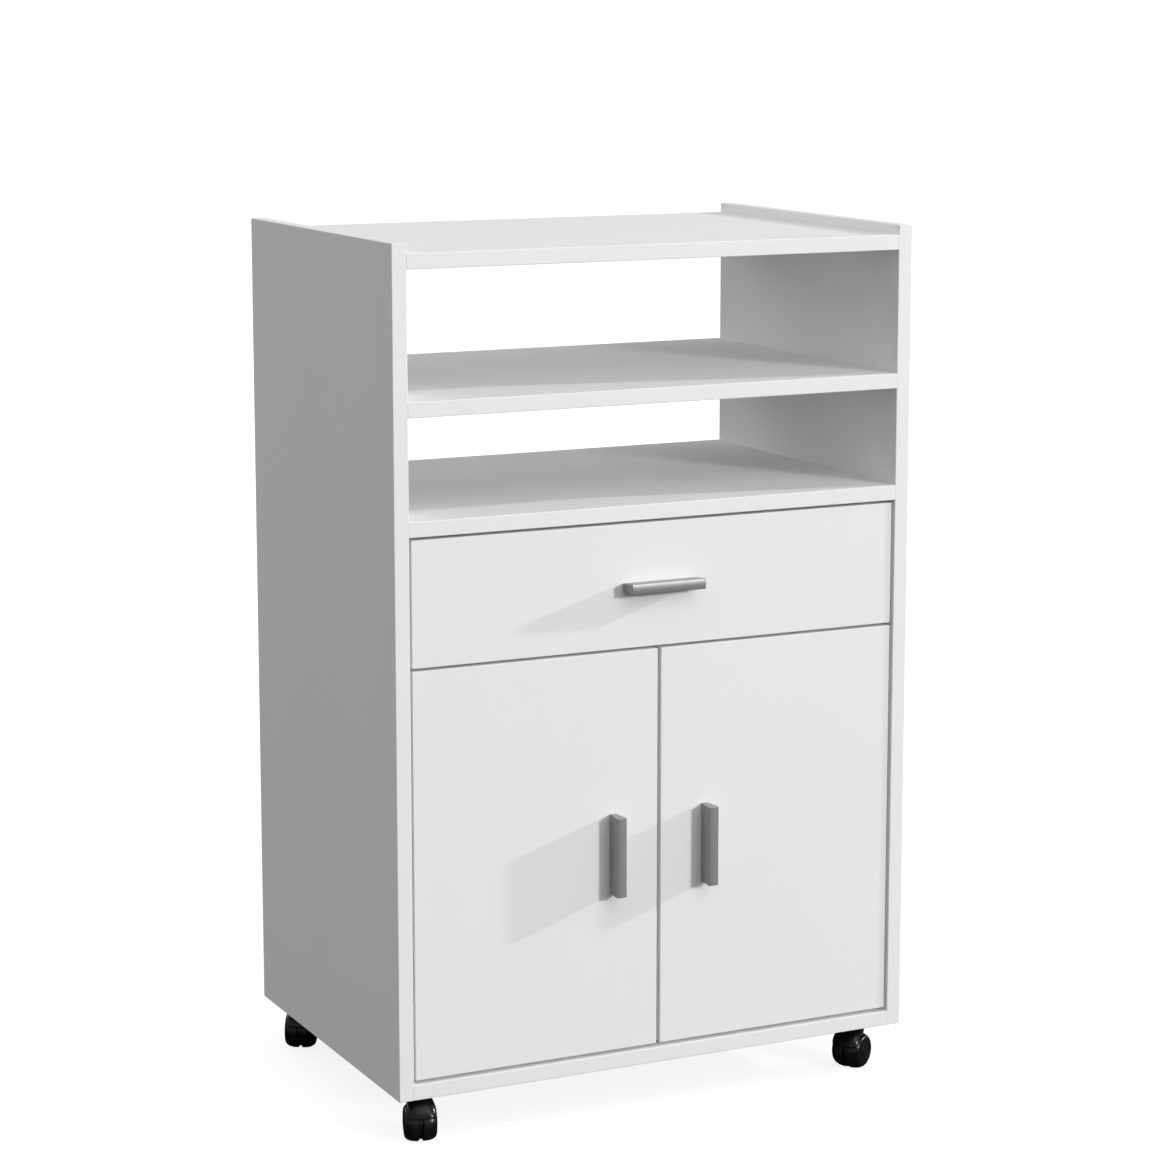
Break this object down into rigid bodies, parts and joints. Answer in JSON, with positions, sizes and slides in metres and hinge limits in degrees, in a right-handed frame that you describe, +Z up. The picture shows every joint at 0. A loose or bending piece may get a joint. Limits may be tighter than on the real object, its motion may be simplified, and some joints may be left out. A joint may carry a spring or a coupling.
{
  "type": "microwave cart",
  "caption": "White laminated kitchen cart on twin-wheel casters, with a lipped top, open bays, a drawer on roller runners and a cupboard with hinged doors.",
  "frame": {"origin": "on the floor, under the middle of the overall box", "axes": "+X to the cart's right as seen from its front, +Y to the back, +Z up; the drawer and doors face -Y"},
  "size_m": [0.59, 0.414, 0.92],
  "materials": {
    "white_laminate": "satin white laminate on board",
    "white_hardboard": "white lacquered hardboard",
    "white_drawer_board": "matte white foil on board",
    "grey_handle": "satin grey",
    "zinc_steel": "zinc plated",
    "beech_dowel": "bare beech",
    "white_runner": "white epoxy coat",
    "white_nylon": "plain nylon",
    "black_caster": "gloss black"
  },
  "bodies": {
    "cabinet": {"side_panel_left": "white_laminate", "side_panel_right": "white_laminate", "top_board": "white_laminate", "middle_shelf": "white_laminate", "deck_board": "white_laminate", "bottom_board": "white_laminate", "inner_shelf": "white_laminate", "back_panel": "white_hardboard", "shelf_pins": "zinc_steel", "cam_fittings": "zinc_steel", "hinge_plates": "zinc_steel", "hinge_arms": "zinc_steel", "hinge_pins": "zinc_steel", "caster_screws": "zinc_steel", "cabinet_screws": "zinc_steel", "caster_plate_front_left": "zinc_steel", "caster_plate_front_right": "zinc_steel", "caster_plate_rear_left": "zinc_steel", "caster_plate_rear_right": "zinc_steel", "dowels": "beech_dowel", "runner_rail_left": "white_runner", "runner_rail_right": "white_runner"},
    "left_door": {"door_left": "white_laminate", "handle_door_left": "grey_handle", "handle_screws_door_left": "zinc_steel", "hinge_cups_left": "zinc_steel"},
    "right_door": {"door_right": "white_laminate", "handle_door_right": "grey_handle", "handle_screws_door_right": "zinc_steel", "hinge_cups_right": "zinc_steel"},
    "drawer": {"drawer_front": "white_laminate", "drawer_side_left": "white_drawer_board", "drawer_side_right": "white_drawer_board", "drawer_back": "white_drawer_board", "drawer_bottom": "white_hardboard", "handle_drawer": "grey_handle", "handle_screws_drawer": "zinc_steel", "runner_slide_left": "white_runner", "runner_slide_right": "white_runner", "drawer_fittings": "zinc_steel"},
    "roller_rail_left": {"roller_rail_left": "white_nylon"},
    "roller_rail_right": {"roller_rail_right": "white_nylon"},
    "roller_slide_left": {"roller_slide_left": "white_nylon"},
    "roller_slide_right": {"roller_slide_right": "white_nylon"},
    "caster_front_left": {"caster_hood_front_left": "black_caster", "caster_axle_front_left": "zinc_steel"},
    "caster_wheel_left_front_left": {"caster_wheel_left_front_left": "black_caster"},
    "caster_wheel_right_front_left": {"caster_wheel_right_front_left": "black_caster"},
    "caster_front_right": {"caster_hood_front_right": "black_caster", "caster_axle_front_right": "zinc_steel"},
    "caster_wheel_left_front_right": {"caster_wheel_left_front_right": "black_caster"},
    "caster_wheel_right_front_right": {"caster_wheel_right_front_right": "black_caster"},
    "caster_rear_left": {"caster_hood_rear_left": "black_caster", "caster_axle_rear_left": "zinc_steel"},
    "caster_wheel_left_rear_left": {"caster_wheel_left_rear_left": "black_caster"},
    "caster_wheel_right_rear_left": {"caster_wheel_right_rear_left": "black_caster"},
    "caster_rear_right": {"caster_hood_rear_right": "black_caster", "caster_axle_rear_right": "zinc_steel"},
    "caster_wheel_left_rear_right": {"caster_wheel_left_rear_right": "black_caster"},
    "caster_wheel_right_rear_right": {"caster_wheel_right_rear_right": "black_caster"}
  },
  "joints": [
    {"name": "door_left_hinge", "type": "hinge", "parent": "cabinet", "child": "left_door", "pos_m": [-0.264, -0.177, 0.28175], "axis": [0, 0, -1], "range_deg": [0, 95]},
    {"name": "door_right_hinge", "type": "hinge", "parent": "cabinet", "child": "right_door", "pos_m": [0.264, -0.177, 0.28175], "axis": [0, 0, 1], "range_deg": [0, 95]},
    {"name": "drawer_slide", "type": "slide", "parent": "cabinet", "child": "drawer", "axis": [0, -1, 0], "range_m": [0, 0.25]},
    {"name": "roller_rail_left_spin", "type": "hinge", "parent": "cabinet", "child": "roller_rail_left", "pos_m": [-0.2735, -0.155, 0.5162], "axis": [1, 0, 0], "range_deg": [-5, 1800]},
    {"name": "roller_rail_right_spin", "type": "hinge", "parent": "cabinet", "child": "roller_rail_right", "pos_m": [0.2735, -0.155, 0.5162], "axis": [1, 0, 0], "range_deg": [-5, 1800]},
    {"name": "roller_slide_left_spin", "type": "hinge", "parent": "drawer", "child": "roller_slide_left", "pos_m": [-0.2735, 0.159, 0.5158], "axis": [1, 0, 0], "range_deg": [-5, 1800]},
    {"name": "roller_slide_right_spin", "type": "hinge", "parent": "drawer", "child": "roller_slide_right", "pos_m": [0.2735, 0.159, 0.5158], "axis": [1, 0, 0], "range_deg": [-5, 1800]},
    {"name": "caster_front_left_swivel", "type": "hinge", "parent": "cabinet", "child": "caster_front_left", "pos_m": [-0.261, -0.155, 0.044], "axis": [0, 0, 1], "continuous": true},
    {"name": "caster_front_left_left_wheel", "type": "hinge", "parent": "caster_front_left", "child": "caster_wheel_left_front_left", "pos_m": [-0.27412, -0.16458, 0.02], "axis": [0.9563, -0.2924, 0], "continuous": true},
    {"name": "caster_front_left_right_wheel", "type": "hinge", "parent": "caster_front_left", "child": "caster_wheel_right_front_left", "pos_m": [-0.25548, -0.17028, 0.02], "axis": [0.9563, -0.2924, 0], "continuous": true},
    {"name": "caster_front_right_swivel", "type": "hinge", "parent": "cabinet", "child": "caster_front_right", "pos_m": [0.261, -0.155, 0.044], "axis": [0, 0, 1], "continuous": true},
    {"name": "caster_front_right_left_wheel", "type": "hinge", "parent": "caster_front_right", "child": "caster_wheel_left_front_right", "pos_m": [0.24481, -0.15362, 0.02], "axis": [0.5299, -0.848, 0], "continuous": true},
    {"name": "caster_front_right_right_wheel", "type": "hinge", "parent": "caster_front_right", "child": "caster_wheel_right_front_right", "pos_m": [0.25514, -0.17016, 0.02], "axis": [0.5299, -0.848, 0], "continuous": true},
    {"name": "caster_rear_left_swivel", "type": "hinge", "parent": "cabinet", "child": "caster_rear_left", "pos_m": [-0.261, 0.175, 0.044], "axis": [0, 0, 1], "continuous": true},
    {"name": "caster_rear_left_left_wheel", "type": "hinge", "parent": "caster_rear_left", "child": "caster_wheel_left_rear_left", "pos_m": [-0.27594, 0.16862, 0.02], "axis": [0.866, -0.5, 0], "continuous": true},
    {"name": "caster_rear_left_right_wheel", "type": "hinge", "parent": "caster_rear_left", "child": "caster_wheel_right_rear_left", "pos_m": [-0.25906, 0.15887, 0.02], "axis": [0.866, -0.5, 0], "continuous": true},
    {"name": "caster_rear_right_swivel", "type": "hinge", "parent": "cabinet", "child": "caster_rear_right", "pos_m": [0.261, 0.175, 0.044], "axis": [0, 0, 1], "continuous": true},
    {"name": "caster_rear_right_left_wheel", "type": "hinge", "parent": "caster_rear_right", "child": "caster_wheel_left_rear_right", "pos_m": [0.24511, 0.17159, 0.02], "axis": [0.7547, -0.6561, 0], "continuous": true},
    {"name": "caster_rear_right_right_wheel", "type": "hinge", "parent": "caster_rear_right", "child": "caster_wheel_right_rear_right", "pos_m": [0.25983, 0.15879, 0.02], "axis": [0.7547, -0.6561, 0], "continuous": true}
  ],
  "couplings": [
    {"joint": "roller_rail_left_spin", "follows": "drawer_slide", "rad_per_m": 125},
    {"joint": "roller_rail_right_spin", "follows": "drawer_slide", "rad_per_m": 125},
    {"joint": "roller_slide_left_spin", "follows": "drawer_slide", "rad_per_m": 125},
    {"joint": "roller_slide_right_spin", "follows": "drawer_slide", "rad_per_m": 125}
  ]
}
